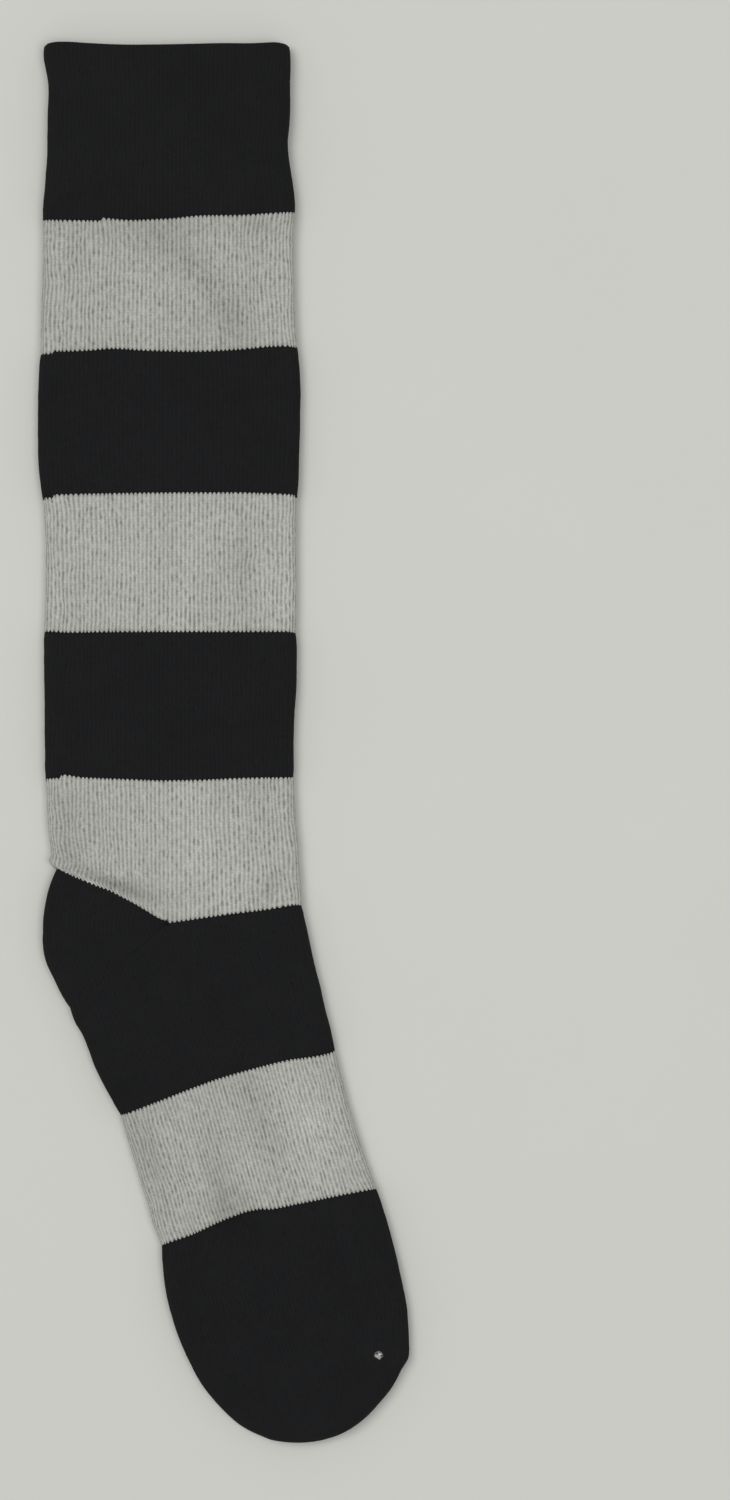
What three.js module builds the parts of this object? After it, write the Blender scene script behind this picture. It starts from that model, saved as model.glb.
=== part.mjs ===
// A striped knee sock, laid flat on its side: the back of the leg is at -X, the shin at +X, the cuff at +Y.
// It is knitted as one hollow tube in bands of two yarns, with a pocket for the heel and a closed toe cap.
import * as THREE from "three";

// Lengths along the leg, from the mouth of the cuff down to the ankle, in millimetres
const cuffLength = 63;
const calfStripeLength = 49;
const calfBandLength = 53;
const shinStripeLength = 49.6;
const shinBandLength = 53.3;
const ankleStripeLength = 52.6;

// Lengths along the foot, from the ankle to the tip of the toe
const instepBandLength = 62.4;
const footStripeLength = 51.2;
const toeLength = 83.4;

// Widths of the flat tube, and how the foot is set on the leg
const legWidth = 93;
const footWidth = 81;
const footForward = 4.4;
const footAngle = 16;
const goreAngle = 25;
const instepShare = 0.42;

// Thickness of the knitting, and of the flat sock over all its layers
const knitWall = 1.4;
const cuffWall = 2.6;
const cuffThickness = 10.8;
const legThickness = 9;
const footThickness = 8.6;

// Room between neighbouring bands, and the small ends where a surface closes
const bandGap = 0.4;
const heelPoint = 2;
const toePoint = 0.12;

// Widest part of a narrow loop that its rounded fold may take
const foldShare = 0.8;

// How finely a half loop, a lip and a band are divided
const topSteps = 6;
const rollSteps = 5;
const bottomSteps = 3;
const lipSteps = 3;
const legSections = 7;
const ankleSections = 8;
const heelSections = 8;
const toeSections = 13;

const darkYarn = { color: 0x202122, roughness: 0.95, metalness: 0 };
const lightYarn = { color: 0xa6a79f, roughness: 0.95, metalness: 0 };

// Rows of knitting. at is the share of the band's length, from its cuff end. left and right are the reach of
// the row to each side, as shares of half the width. high is the share of the flat thickness. vee says how far
// the row is bent at its middle towards the heel's V. bow and peak say how far its middle runs ahead, in a
// curve or in a corner, as shares of half the width, and lean how far it is turned, in degrees.
const cuffRows = [
  { at: 0, left: 0.945, right: 0.92, high: 0.98 },
  { at: 0.025, left: 0.97, right: 0.945, high: 1 },
  { at: 0.08, left: 0.978, right: 0.96, high: 1 },
  { at: 0.25, left: 0.941, right: 0.955, high: 1 },
  { at: 0.42, left: 0.947, right: 0.957, high: 0.99 },
  { at: 0.6, left: 0.949, right: 0.939, high: 0.98 },
  { at: 0.77, left: 0.963, right: 0.965, high: 0.96, lean: 0.6 },
  { at: 1, left: 0.993, right: 1, high: 0.94, lean: 1.5 },
];
const calfStripeRows = [
  { at: 0, left: 0.99, right: 0.995, high: 1.128, lean: 1.5 },
  { at: 0.25, left: 0.986, right: 0.984, high: 1.1, lean: 1.4 },
  { at: 0.7, left: 0.998, right: 0.996, high: 1.05, lean: 1.2 },
  { at: 1, left: 1.005, right: 1.013, high: 1.03, lean: 1.1 },
];
const calfBandRows = [
  { at: 0, left: 1.008, right: 1.018, high: 1.03, lean: 1.1 },
  { at: 0.22, left: 1.02, right: 1.036, high: 1.02, lean: 0.9 },
  { at: 0.52, left: 1.026, right: 1.035, high: 1.01, lean: 0.5 },
  { at: 0.8, left: 1.02, right: 1.027, high: 1, lean: 0.1, bow: -0.01 },
  { at: 1, left: 0.992, right: 1.018, high: 1, bow: -0.02 },
];
const shinStripeRows = [
  { at: 0, left: 0.985, right: 1.01, high: 1, bow: -0.02 },
  { at: 0.3, left: 0.965, right: 1.005, high: 1 },
  { at: 0.75, left: 0.965, right: 1.008, high: 0.99 },
  { at: 1, left: 0.975, right: 1.005, high: 0.99 },
];
const shinBandRows = [
  { at: 0, left: 0.977, right: 1.005, high: 0.99 },
  { at: 0.3, left: 0.976, right: 1.01, high: 0.99 },
  { at: 0.7, left: 0.971, right: 0.985, high: 0.99 },
  { at: 1, left: 0.968, right: 0.985, high: 1 },
];
const ankleStripeRows = [
  { at: 0, left: 0.962, right: 0.985, high: 1, vee: 0 },
  { at: 0.3, left: 0.955, right: 1.003, high: 1, vee: 0.15 },
  { at: 0.6, left: 0.957, right: 1.03, high: 1.01, vee: 0.5 },
  { at: 0.85, left: 0.985, right: 1.048, high: 1.02, vee: 0.85 },
  { at: 1, left: 1.03, right: 1.059, high: 1.02, vee: 1 },
];
const instepBandRows = [
  { at: 0, left: 1.025, right: 1.059, high: 1.07, vee: 1 },
  { at: 0.33, left: 1.017, right: 1.038, high: 1.04, vee: 0.6, bow: -0.01 },
  { at: 0.66, left: 1.024, right: 1.029, high: 1.01, vee: 0.3, bow: -0.03 },
  { at: 1, left: 1.005, right: 1.02, high: 1, bow: -0.065, lean: 0.8 },
];
const footStripeRows = [
  { at: 0, left: 1.005, right: 1.02, high: 1, bow: -0.065, lean: 0.8 },
  { at: 0.35, left: 0.998, right: 1.002, high: 0.98, bow: -0.05, peak: -0.02 },
  { at: 0.65, left: 0.992, right: 1.005, high: 0.98, bow: -0.03, peak: -0.045, lean: -0.7 },
  { at: 0.87, left: 0.99, right: 1.018, high: 1, bow: -0.01, peak: -0.07, lean: -1.2 },
  { at: 1, left: 0.975, right: 1.034, high: 1, peak: -0.082, lean: -1.4 },
];
const toeRows = [
  { at: 0, left: 0.973, right: 1.034, high: 1, peak: -0.082, lean: -1.4 },
  { at: 0.18, left: 1.04, right: 1.041, high: 1, peak: -0.05, lean: -1 },
  { at: 0.36, left: 1.052, right: 1.03, high: 1, peak: -0.02, lean: -0.6 },
  { at: 0.54, left: 1.005, right: 1, high: 0.98, lean: -0.3 },
  { at: 0.71, left: 0.895, right: 0.933, high: 0.97 },
  { at: 0.765, left: 0.835, right: 0.903, high: 0.96 },
  { at: 0.8, left: 0.788, right: 0.805, high: 0.96 },
  { at: 0.88, left: 0.653, right: 0.635, high: 0.95 },
  { at: 0.94, left: 0.495, right: 0.44, high: 0.95 },
  { at: 0.98, left: 0.32, right: 0.26, high: 0.95 },
  { at: 1, left: 0.17, right: 0.13, high: 0.95 },
];
// Rows of the heel pocket fan out round the ankle: turn is the share of the fan, from the leg to the foot.
const heelRows = [
  { turn: 0, reach: 0.977, high: 1.02 },
  { turn: 0.14, reach: 0.973, high: 1.05 },
  { turn: 0.3, reach: 0.979, high: 1.08 },
  { turn: 0.45, reach: 0.989, high: 1.1 },
  { turn: 0.62, reach: 1.011, high: 1.08 },
  { turn: 0.8, reach: 0.999, high: 1.05 },
  { turn: 1, reach: 1.025, high: 1.02 },
];
// Soft dents in the upper layer. at and long are shares of the band's length, across and wide of half the
// width, deep of the knitted wall. turn is in degrees.
const dents = {
  cuff: [{ at: 0.6, across: 0.55, long: 0.3, wide: 0.2, deep: 0.25, turn: 0 }],
  calf_stripe: [
    { at: 0.42, across: 0.2, long: 0.5, wide: 0.1, deep: 0.45, turn: 38 },
    { at: 0.25, across: -0.72, long: 0.3, wide: 0.1, deep: 0.3, turn: 4 },
  ],
  calf_band: [{ at: 0.5, across: -0.3, long: 0.5, wide: 0.22, deep: 0.3, turn: 10 }],
  shin_stripe: [{ at: 0.55, across: 0.4, long: 0.5, wide: 0.16, deep: 0.3, turn: -8 }],
  shin_band: [{ at: 0.4, across: 0.1, long: 0.5, wide: 0.25, deep: 0.3, turn: 6 }],
  ankle_stripe: [
    { at: 0.91, across: -0.5, long: 0.08, wide: 0.45, deep: 0.5, turn: 0 },
    { at: 0.5, across: 0.7, long: 0.4, wide: 0.15, deep: 0.25, turn: -6 },
  ],
  instep_band: [{ at: 0.4, across: 0.35, long: 0.4, wide: 0.25, deep: 0.4, turn: -14 }],
  foot_stripe: [
    { at: 0.4, across: 0.2, long: 0.6, wide: 0.13, deep: 0.45, turn: 5 },
    { at: 0.6, across: -0.75, long: 0.5, wide: 0.12, deep: 0.3, turn: 0 },
  ],
  toe_cap: [{ at: 0.3, across: 0.1, long: 0.25, wide: 0.35, deep: 0.35, turn: 0 }],
};

// The value of one column of a table at a place between its rows, on a smooth curve through them
function columnAt(rows, placeColumn, valueColumn, place) {
  const places = rows.map((row) => row[placeColumn]);
  const values = rows.map((row) => row[valueColumn] ?? 0);
  const last = rows.length - 1;
  const slope = (i) => {
    const before = Math.max(i - 1, 0);
    const after = Math.min(i + 1, last);
    return (values[after] - values[before]) / (places[after] - places[before]);
  };
  const found = places.findIndex((p) => p > place);
  const i = found < 0 ? last - 1 : Math.max(found - 1, 0);
  const span = places[i + 1] - places[i];
  const t = (place - places[i]) / span;
  const rise = values[i + 1] - values[i];
  const bend = (1 - t) * (slope(i) * span - rise) - t * (slope(i + 1) * span - rise);
  return values[i] + t * rise + t * (1 - t) * bend;
}

// A point given across and up in a frame that is turned about the ankle, seen from above
function turned(across, up, degrees) {
  return new THREE.Vector2(across, up).rotateAround(new THREE.Vector2(), THREE.MathUtils.degToRad(degrees));
}

// One side of a row of knitting, as a path from its middle, 0, to its edge, 1. The leg's rows are above the
// ankle and bend up at their ends, the foot's rows are below it and bend down.
function rowSide(band, at, side) {
  const value = (column) => columnAt(band.rows, "at", column, at);
  const vee = value("vee");
  const half = THREE.MathUtils.lerp(band.width, legWidth, vee) / 2;
  const reach = half * value(side < 0 ? "left" : "right");
  const bend = vee * (side < 0 ? goreAngle : band.instepBend) * band.direction;
  const line = turned(side * reach, 0, side * bend + value("lean"));
  const middle = (1 - vee) * band.forward;
  const level = band.start - at * band.length;
  const path = (share) => {
    const ahead = half * (value("bow") * (1 - share * share) + value("peak") * (1 - share));
    return turned(middle + line.x * share, level + line.y * share - ahead, band.angle);
  };
  return { path, reach };
}

// How far the upper layer sinks at a place of a band
function sinkAt(band, at, across) {
  return (dents[band.name] ?? []).reduce((sum, dent) => {
    const along = (at - dent.at) * band.length;
    const aside = ((across - dent.across) * band.width) / 2;
    const place = turned(aside, along, dent.turn);
    const far = (place.x / ((dent.wide * band.width) / 2)) ** 2 + (place.y / (dent.long * band.length)) ** 2;
    return sum + dent.deep * knitWall * Math.exp(-far);
  }, 0);
}

// Half a loop round the flat tube: over the top from its middle, round the folded edge, and back below
function halfLoop(side, section, inset, from = 0) {
  const roll = section.thickness / 2 - inset;
  const fold = Math.min(roll, (side.reach - inset) * foldShare);
  const flat = side.reach - inset - fold;
  const points = [];
  const add = (distance, height) => {
    const plan = side.path(distance / side.reach);
    const upper = Math.max(height / roll, 0);
    const sink = section.sink(distance / side.reach) * upper;
    points.push(new THREE.Vector3(plan.x, plan.y, section.level + height - sink));
  };
  for (let i = 0; i < topSteps; i++) {
    add(THREE.MathUtils.lerp(from, flat, i / topSteps), roll);
  }
  for (let i = 0; i <= rollSteps; i++) {
    const angle = (Math.PI * i) / rollSteps;
    add(flat + fold * Math.sin(angle), roll * Math.cos(angle));
  }
  for (let i = bottomSteps - 1; i >= 0; i--) {
    add(THREE.MathUtils.lerp(from, flat, i / bottomSteps), -roll);
  }
  return points;
}

// A whole loop round the tube at one row
function loopAt(band, at, inset, thickness, level) {
  const half = (direction) =>
    halfLoop(
      rowSide(band, at, direction),
      { thickness, level, sink: (share) => sinkAt(band, at, direction * share) },
      inset,
    );
  const right = half(1).reverse();
  return [...half(-1), ...right.slice(1, -1)];
}

// A closed wall between an outer and an inner grid of points. ring says that its rows are whole loops, and
// tip that it closes to a point after its last row.
function wallGeometry(outer, inner, { ring = true, tip = false } = {}) {
  const columns = outer[0].length;
  const steps = ring ? columns : columns - 1;
  const rows = outer.length;
  const ends = tip ? [outer, inner].map((grid) => new THREE.Box3().setFromPoints(grid[rows - 1])) : [];
  const tips = ends.map((box) => box.getCenter(new THREE.Vector3()));
  const positions = [...outer.flat(), ...inner.flat(), ...tips].flatMap((p) => [p.x, p.y, p.z]);
  const out = (i, j) => i * columns + (j % columns);
  const into = (i, j) => rows * columns + out(i, j);
  const faces = [];
  const quad = (a, b, c, d) => faces.push(a, b, c, a, c, d);
  for (let j = 0; j < steps; j++) {
    for (let i = 0; i < rows - 1; i++) {
      quad(out(i, j), out(i, j + 1), out(i + 1, j + 1), out(i + 1, j));
      quad(into(i, j), into(i + 1, j), into(i + 1, j + 1), into(i, j + 1));
    }
    quad(out(0, j), into(0, j), into(0, j + 1), out(0, j + 1));
    if (!tip) {
      quad(out(rows - 1, j), out(rows - 1, j + 1), into(rows - 1, j + 1), into(rows - 1, j));
    }
  }
  if (!ring) {
    for (let i = 0; i < rows - 1; i++) {
      quad(out(i, 0), out(i + 1, 0), into(i + 1, 0), into(i, 0));
      quad(out(i, steps), into(i, steps), into(i + 1, steps), out(i + 1, steps));
    }
  }
  if (tip) {
    const [outerTip, innerTip] = [2 * rows * columns, 2 * rows * columns + 1];
    for (let j = 0; j < columns; j++) {
      faces.push(outerTip, out(rows - 1, j), out(rows - 1, j + 1));
      faces.push(innerTip, into(rows - 1, j + 1), into(rows - 1, j));
    }
  }
  const geometry = new THREE.BufferGeometry();
  geometry.setAttribute("position", new THREE.Float32BufferAttribute(positions, 3));
  geometry.setIndex(faces);
  geometry.computeVertexNormals();
  return geometry;
}

// A stretch of tube between two rows, open at both ends
function tubeBand(band) {
  const outer = [];
  const inner = [];
  const trim = bandGap / 2 / band.length;
  for (let i = 0; i <= band.sections; i++) {
    const at = THREE.MathUtils.lerp(trim, 1 - trim, i / band.sections);
    const thickness = band.thickness * columnAt(band.rows, "at", "high", at);
    outer.push(loopAt(band, at, 0, thickness, thickness / 2));
    inner.push(loopAt(band, at, band.wall, thickness, thickness / 2));
  }
  return wallGeometry(outer, inner);
}

// The cuff: a tube whose mouth has a rounded lip, where the knitting is turned in
function cuffTube(band) {
  const outer = [];
  const inner = [];
  const lip = band.wall / 2;
  const add = (distance, rounding) => {
    const at = distance / band.length;
    const thickness = band.thickness * columnAt(band.rows, "at", "high", at);
    outer.push(loopAt(band, at, rounding, thickness, thickness / 2));
    inner.push(loopAt(band, at, band.wall - rounding, thickness, thickness / 2));
  };
  for (let i = 0; i < lipSteps; i++) {
    const angle = (Math.PI / 2) * ((i + 0.5) / lipSteps);
    add(lip * (1 - Math.cos(angle)), lip * (1 - Math.sin(angle)));
  }
  for (let i = 0; i <= band.sections; i++) {
    add(THREE.MathUtils.lerp(lip, band.length - bandGap / 2, i / band.sections), 0);
  }
  return wallGeometry(outer, inner);
}

// The toe cap: its rows close in to a rounded tip, as wide and thick as the outline leaves them
function toeCap(band) {
  const trim = bandGap / 2;
  const loops = (inset) => {
    const made = [];
    const end = band.length - inset - toePoint;
    for (let i = 0; i <= toeSections; i++) {
      const down = THREE.MathUtils.lerp(trim, end, Math.sin((Math.PI / 2) * (i / toeSections)));
      const share = (down - trim) / (end - trim);
      const at = (trim + share * (band.length - toePoint - trim)) / band.length;
      const full = band.thickness * columnAt(band.rows, "at", "high", at);
      const before = Math.min(band.length - inset - down, full / 2 - inset);
      const round = Math.sqrt((full / 2 - inset) ** 2 - (full / 2 - inset - before) ** 2);
      const shift = down / band.length - at;
      const moved = { ...band, start: band.start - shift * band.length };
      made.push(loopAt(moved, at, inset, 2 * (round + inset), full / 2));
    }
    return made;
  };
  return wallGeometry(loops(0), loops(band.wall), { tip: true });
}

// The heel pocket: half loops that fan out round the ankle, between the leg's rows and the foot's
function heelPocket() {
  const fan = 2 * goreAngle + footAngle;
  const first = 180 - goreAngle;
  const shift = bandGap / 2 / Math.sin(THREE.MathUtils.degToRad(fan / 2));
  const centre = turned(shift, 0, first + fan / 2);
  const grids = [0, knitWall].map((inset) => {
    const rows = [];
    for (let i = 0; i <= heelSections; i++) {
      const turn = i / heelSections;
      const angle = first + turn * fan;
      const reach = (legWidth / 2) * columnAt(heelRows, "turn", "reach", turn) - shift;
      const thickness = legThickness * columnAt(heelRows, "turn", "high", turn);
      const side = { reach, path: (share) => turned(reach * share, 0, angle).add(centre) };
      rows.push(halfLoop(side, { thickness, level: thickness / 2, sink: () => 0 }, inset, heelPoint));
    }
    return rows;
  });
  return wallGeometry(grids[0], grids[1], { ring: false });
}

function knitted(name, yarn, geometry) {
  const mesh = new THREE.Mesh(geometry, new THREE.MeshStandardMaterial(yarn));
  mesh.name = name;
  return mesh;
}

// The bands of the leg, from the cuff down, and of the foot, from the ankle down
const legBands = [
  { name: "cuff", rows: cuffRows, length: cuffLength, yarn: darkYarn, wall: cuffWall, thickness: cuffThickness },
  { name: "calf_stripe", rows: calfStripeRows, length: calfStripeLength, yarn: lightYarn },
  { name: "calf_band", rows: calfBandRows, length: calfBandLength, yarn: darkYarn },
  { name: "shin_stripe", rows: shinStripeRows, length: shinStripeLength, yarn: lightYarn },
  { name: "shin_band", rows: shinBandRows, length: shinBandLength, yarn: darkYarn },
  { name: "ankle_stripe", rows: ankleStripeRows, length: ankleStripeLength, yarn: lightYarn, sections: ankleSections },
];
const footBands = [
  { name: "instep_band", rows: instepBandRows, length: instepBandLength, yarn: darkYarn, sections: ankleSections },
  { name: "foot_stripe", rows: footStripeRows, length: footStripeLength, yarn: lightYarn },
  { name: "toe_cap", rows: toeRows, length: toeLength, yarn: darkYarn },
];
const legFrame = {
  width: legWidth,
  thickness: legThickness,
  wall: knitWall,
  sections: legSections,
  angle: 0,
  forward: 0,
  direction: 1,
  instepBend: footAngle * instepShare,
};
const footFrame = {
  ...legFrame,
  width: footWidth,
  thickness: footThickness,
  angle: footAngle,
  forward: footForward,
  direction: -1,
  instepBend: footAngle * (1 - instepShare),
};
const makers = { cuff: cuffTube, toe_cap: toeCap };

const sock = new THREE.Group();
sock.name = "knee_sock";
let start = legBands.reduce((sum, band) => sum + band.length, 0);
for (const described of legBands) {
  const band = { ...legFrame, start, ...described };
  sock.add(knitted(band.name, band.yarn, (makers[band.name] ?? tubeBand)(band)));
  start -= band.length;
}
sock.add(knitted("heel_pocket", darkYarn, heelPocket()));
start = 0;
for (const described of footBands) {
  const band = { ...footFrame, start, ...described };
  sock.add(knitted(band.name, band.yarn, (makers[band.name] ?? tubeBand)(band)));
  start -= band.length;
}

// The origin is on the surface that the sock lies on, below the middle of its outline
const middle = new THREE.Box3().setFromObject(sock).getCenter(new THREE.Vector3());
sock.position.set(-middle.x, -middle.y, 0);

export default sock;
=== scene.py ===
import math

import bmesh
import bpy
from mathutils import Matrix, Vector, noise


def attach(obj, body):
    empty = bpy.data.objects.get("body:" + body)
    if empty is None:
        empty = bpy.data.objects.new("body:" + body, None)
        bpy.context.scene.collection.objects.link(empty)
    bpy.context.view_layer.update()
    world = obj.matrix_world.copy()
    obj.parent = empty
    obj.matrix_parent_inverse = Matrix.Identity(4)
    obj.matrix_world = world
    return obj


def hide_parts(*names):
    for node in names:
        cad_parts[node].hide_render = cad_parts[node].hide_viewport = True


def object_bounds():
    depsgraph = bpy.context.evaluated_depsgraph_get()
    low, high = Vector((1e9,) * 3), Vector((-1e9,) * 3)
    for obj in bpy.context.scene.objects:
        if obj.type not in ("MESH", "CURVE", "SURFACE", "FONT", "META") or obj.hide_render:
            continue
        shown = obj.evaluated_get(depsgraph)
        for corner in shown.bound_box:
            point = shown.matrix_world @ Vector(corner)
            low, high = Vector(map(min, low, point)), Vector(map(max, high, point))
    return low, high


mm = 0.001

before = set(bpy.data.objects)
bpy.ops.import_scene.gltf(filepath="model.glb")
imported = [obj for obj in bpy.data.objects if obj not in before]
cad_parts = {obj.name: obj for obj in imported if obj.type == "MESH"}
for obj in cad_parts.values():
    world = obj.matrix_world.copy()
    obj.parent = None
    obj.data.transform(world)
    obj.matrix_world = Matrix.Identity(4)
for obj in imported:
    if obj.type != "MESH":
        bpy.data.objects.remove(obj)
cadLow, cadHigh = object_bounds()
print("frame loaded:", len(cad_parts), "nodes")

# Sizes that every band shares, in millimetres and degrees. They repeat the model's own.
sock = {
    "legWidth": 93, "footWidth": 81,
    "footForward": 4.4, "footAngle": 16,      # how the foot is set on the leg
    "goreAngle": 25, "instepShare": 0.42,     # the heel's V
    "cuffThickness": 10.8, "legThickness": 9, "footThickness": 8.6,
    "knitWall": 1.4, "cuffWall": 2.6,
    "foldShare": 0.8,                         # the most of a narrow loop that its fold may take
}

# The stitches, in millimetres
knit = {
    "wales": 124,             # round the whole tube
    "stepsPerWale": 4,        # valley, flank, ridge, flank
    "course": 1.05,           # height of one row of stitches
    "rowStep": 1.6,           # rows of the mesh
    "ribDepth": 0.28,         # from a ridge to the valley beside it
    "ribShape": 1.3,          # above 1 the ridges get narrower
    "tooth": 0.42,            # how far a light stitch reaches into the dark band
    "toothShape": 0.8,
    "toothFade": 3.2,
    "tuck": 0.6,              # how far a dark band runs on below the light stitches
    "tuckDepth": 0.3,
    "joinTuck": 0.9,          # how much further the instep runs on below the heel, at the sock's edge
    "joinDepth": 0.06,        # how deep it is tucked in there, where both are the same yarn
    "hemFade": 11,            # how far from a change of yarn its waviness is felt
    "sway": 0.5,              # how far a wale wanders from its line
    "edgeWave": 0.13,         # unevenness of the folded edges
    "swell": 0.22,            # slow unevenness of the upper layer
    "weld": 0.005,            # vertices nearer than this are one
}

# The waves of this unevenness. round is how many go once round the sock, along and length are in
# millimetres, share is their strength, and slice picks one pattern.
waves = {
    "sway": {"round": 26, "along": 15, "slice": 5, "share": 1},
    "shake": {"round": 70, "along": 4, "slice": 9, "share": 0.4},
    "leftEdge": {"length": 7, "slice": 3, "share": 1},
    "rightEdge": {"length": 7, "slice": 7, "share": 1},
    "fineEdge": {"length": 2.3, "slice": 2, "share": 0.6},
    "swell": {"length": 22, "slice": 11, "share": 1},
}

# Bands from the cuff to the toe. In rows:
#   at is the share of the band's length from its cuff end
#   left and right are the reach to each side, as shares of half the width
#   high is the share of the flat thickness
#   vee bends the row towards the heel's V, and bow and peak run its middle ahead
#   lean turns it, in degrees
# hem is how far the change of yarn below the band sags, in millimetres, from the left edge (-1) to the right
# (1), and mouth is the same for the sock's open edge. jog is where that change of yarn starts, as a share of
# the way round from the top's middle. tone is how much the whole band pales (above 0) or greys (below 0).
cuff = {
    "name": "cuff", "yarn": "dark", "length": 63, "jog": 0.121,
    "rows": [
        {"at": 0, "left": 0.957, "right": 0.933, "high": 0.98},
        {"at": 0.02, "left": 0.973, "right": 0.95, "high": 1},
        {"at": 0.08, "left": 0.978, "right": 0.96, "high": 1},
        {"at": 0.25, "left": 0.941, "right": 0.955, "high": 1},
        {"at": 0.42, "left": 0.947, "right": 0.957, "high": 0.99},
        {"at": 0.6, "left": 0.949, "right": 0.939, "high": 0.98},
        {"at": 0.77, "left": 0.963, "right": 0.968, "high": 0.96, "lean": 0.6},
        {"at": 0.9, "left": 0.98, "right": 0.992, "high": 0.95, "lean": 1.1},
        {"at": 1, "left": 0.993, "right": 1, "high": 0.94, "lean": 1.5},
    ],
    "hem": {"across": [-1, -0.74, -0.52, -0.4, -0.28, -0.08, 0.05, 0.25, 0.58, 0.8, 1],
            "down": [0.1, 0.5, 0.9, 1.5, 1.9, 1.7, 1.55, 0.8, 0.9, 0.45, 0.1]},
    "mouth": {"across": [-1, -0.82, -0.66, -0.4, -0.1, 0.2, 0.45, 0.7, 0.88, 1],
              "down": [0.1, 0, 0.45, 1, 1, 0.75, 0.5, 0.55, 0.2, 0.3]},
    "lipSteps": 4, "innerRows": 14,           # mesh rows of the lip and of the inside
    "innerWeld": 0.02,
}
calfStripe = {
    "name": "calf_stripe", "yarn": "light", "length": 49, "jog": 0.214, "tone": -0.08,
    "rows": [
        {"at": 0, "left": 0.99, "right": 0.995, "high": 1.128, "lean": 1.5},
        {"at": 0.25, "left": 0.986, "right": 0.984, "high": 1.1, "lean": 1.4},
        {"at": 0.7, "left": 0.998, "right": 0.996, "high": 1.05, "lean": 1.2},
        {"at": 1, "left": 1.005, "right": 1.013, "high": 1.03, "lean": 1.1},
    ],
    "hem": {"across": [-1, -0.87, -0.64, -0.42, -0.2, 0.02, 0.24, 0.57, 0.78, 1],
            "down": [-0.75, -0.3, -0.4, -0.95, -0.2, 0.25, 0.5, -0.1, -0.85, -1]},
}
calfBand = {
    "name": "calf_band", "yarn": "dark", "length": 53, "jog": 0.213,
    "rows": [
        {"at": 0, "left": 1.008, "right": 1.018, "high": 1.03, "lean": 1.1},
        {"at": 0.22, "left": 1.02, "right": 1.036, "high": 1.02, "lean": 0.9},
        {"at": 0.52, "left": 1.026, "right": 1.035, "high": 1.01, "lean": 0.5},
        {"at": 0.8, "left": 1.02, "right": 1.027, "high": 1, "lean": 0.1, "bow": -0.01},
        {"at": 1, "left": 0.992, "right": 1.018, "high": 1, "bow": -0.02},
    ],
    "hem": {"across": [-1, -0.6, -0.4, -0.2, 0.3, 0.58, 0.8, 1],
            "down": [0.3, 0.3, 0.3, 0.2, -0.1, -0.4, -0.4, -0.3]},
}
shinStripe = {
    "name": "shin_stripe", "yarn": "light", "length": 49.6, "jog": 0.62, "tone": -0.04,
    "rows": [
        {"at": 0, "left": 0.985, "right": 1.01, "high": 1, "bow": -0.02},
        {"at": 0.3, "left": 0.965, "right": 1.005, "high": 1},
        {"at": 0.75, "left": 0.965, "right": 1.008, "high": 0.99},
        {"at": 1, "left": 0.975, "right": 1.005, "high": 0.99},
    ],
    "hem": {"across": [-1, -0.83, -0.5, 0, 0.5, 1], "down": [-0.9, -0.3, -0.5, -0.7, -0.8, -1]},
}
shinBand = {
    "name": "shin_band", "yarn": "dark", "length": 53.3, "jog": 0.204,
    "rows": [
        {"at": 0, "left": 0.977, "right": 1.005, "high": 0.99},
        {"at": 0.3, "left": 0.976, "right": 1.01, "high": 0.99},
        {"at": 0.7, "left": 0.971, "right": 0.985, "high": 0.99},
        {"at": 1, "left": 0.968, "right": 0.985, "high": 1},
    ],
    "hem": {"across": [-1, -0.83, -0.72, -0.5, -0.28, -0.08, 0.05, 0.3, 0.5, 0.7, 1],
            "down": [-0.3, -0.75, 0, 0.45, 0.75, 1.05, 1, 0.7, 0.2, -0.1, -0.3]},
}
ankleStripe = {
    "name": "ankle_stripe", "yarn": "light", "length": 52.6, "jog": None, "tone": -0.03,
    "rows": [
        {"at": 0, "left": 0.962, "right": 0.985, "high": 1, "vee": 0},
        {"at": 0.3, "left": 0.955, "right": 1.003, "high": 1, "vee": 0.15},
        {"at": 0.6, "left": 0.957, "right": 1.03, "high": 1.01, "vee": 0.5},
        {"at": 0.85, "left": 0.985, "right": 1.048, "high": 1.02, "vee": 0.85},
        {"at": 0.97, "left": 1.026, "right": 1.057, "high": 1.02, "vee": 0.97},
        {"at": 1, "left": 0.987, "right": 1.059, "high": 1.02, "vee": 1},
    ],
    "hem": {"across": [-1, -0.85, -0.63, -0.5, -0.4, -0.3, -0.19, -0.08, 0, 0.08, 0.46, 0.74, 0.93, 1],
            "down": [-0.8, -1, -1.4, -1.9, -1.5, -1.2, -0.6, 0, 0, 0, -0.5, -0.6, -1.1, -1.1]},
    "heelTooth": 0.35,        # the stitches stand less proud over the heel
}
instepBand = {
    "name": "instep_band", "yarn": "dark", "length": 62.4, "jog": None,
    "rows": [
        {"at": 0, "left": 1.025, "right": 1.059, "high": 1.07, "vee": 1},
        {"at": 0.15, "left": 1.028, "right": 1.049, "high": 1.056, "vee": 0.81, "bow": -0.004},
        {"at": 0.33, "left": 1.014, "right": 1.038, "high": 1.04, "vee": 0.6, "bow": -0.01},
        {"at": 0.66, "left": 1.024, "right": 1.029, "high": 1.01, "vee": 0.3, "bow": -0.03},
        {"at": 1, "left": 1.005, "right": 1.02, "high": 1, "bow": -0.065, "lean": 0.8},
    ],
    "hem": {"across": [-1, -0.92, -0.6, -0.27, -0.06, 0.26, 0.58, 0.8, 1],
            "down": [0.5, 0.6, 0.85, 0.55, 0.3, 0.35, 0.3, 0.95, 0.8]},
}
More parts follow.
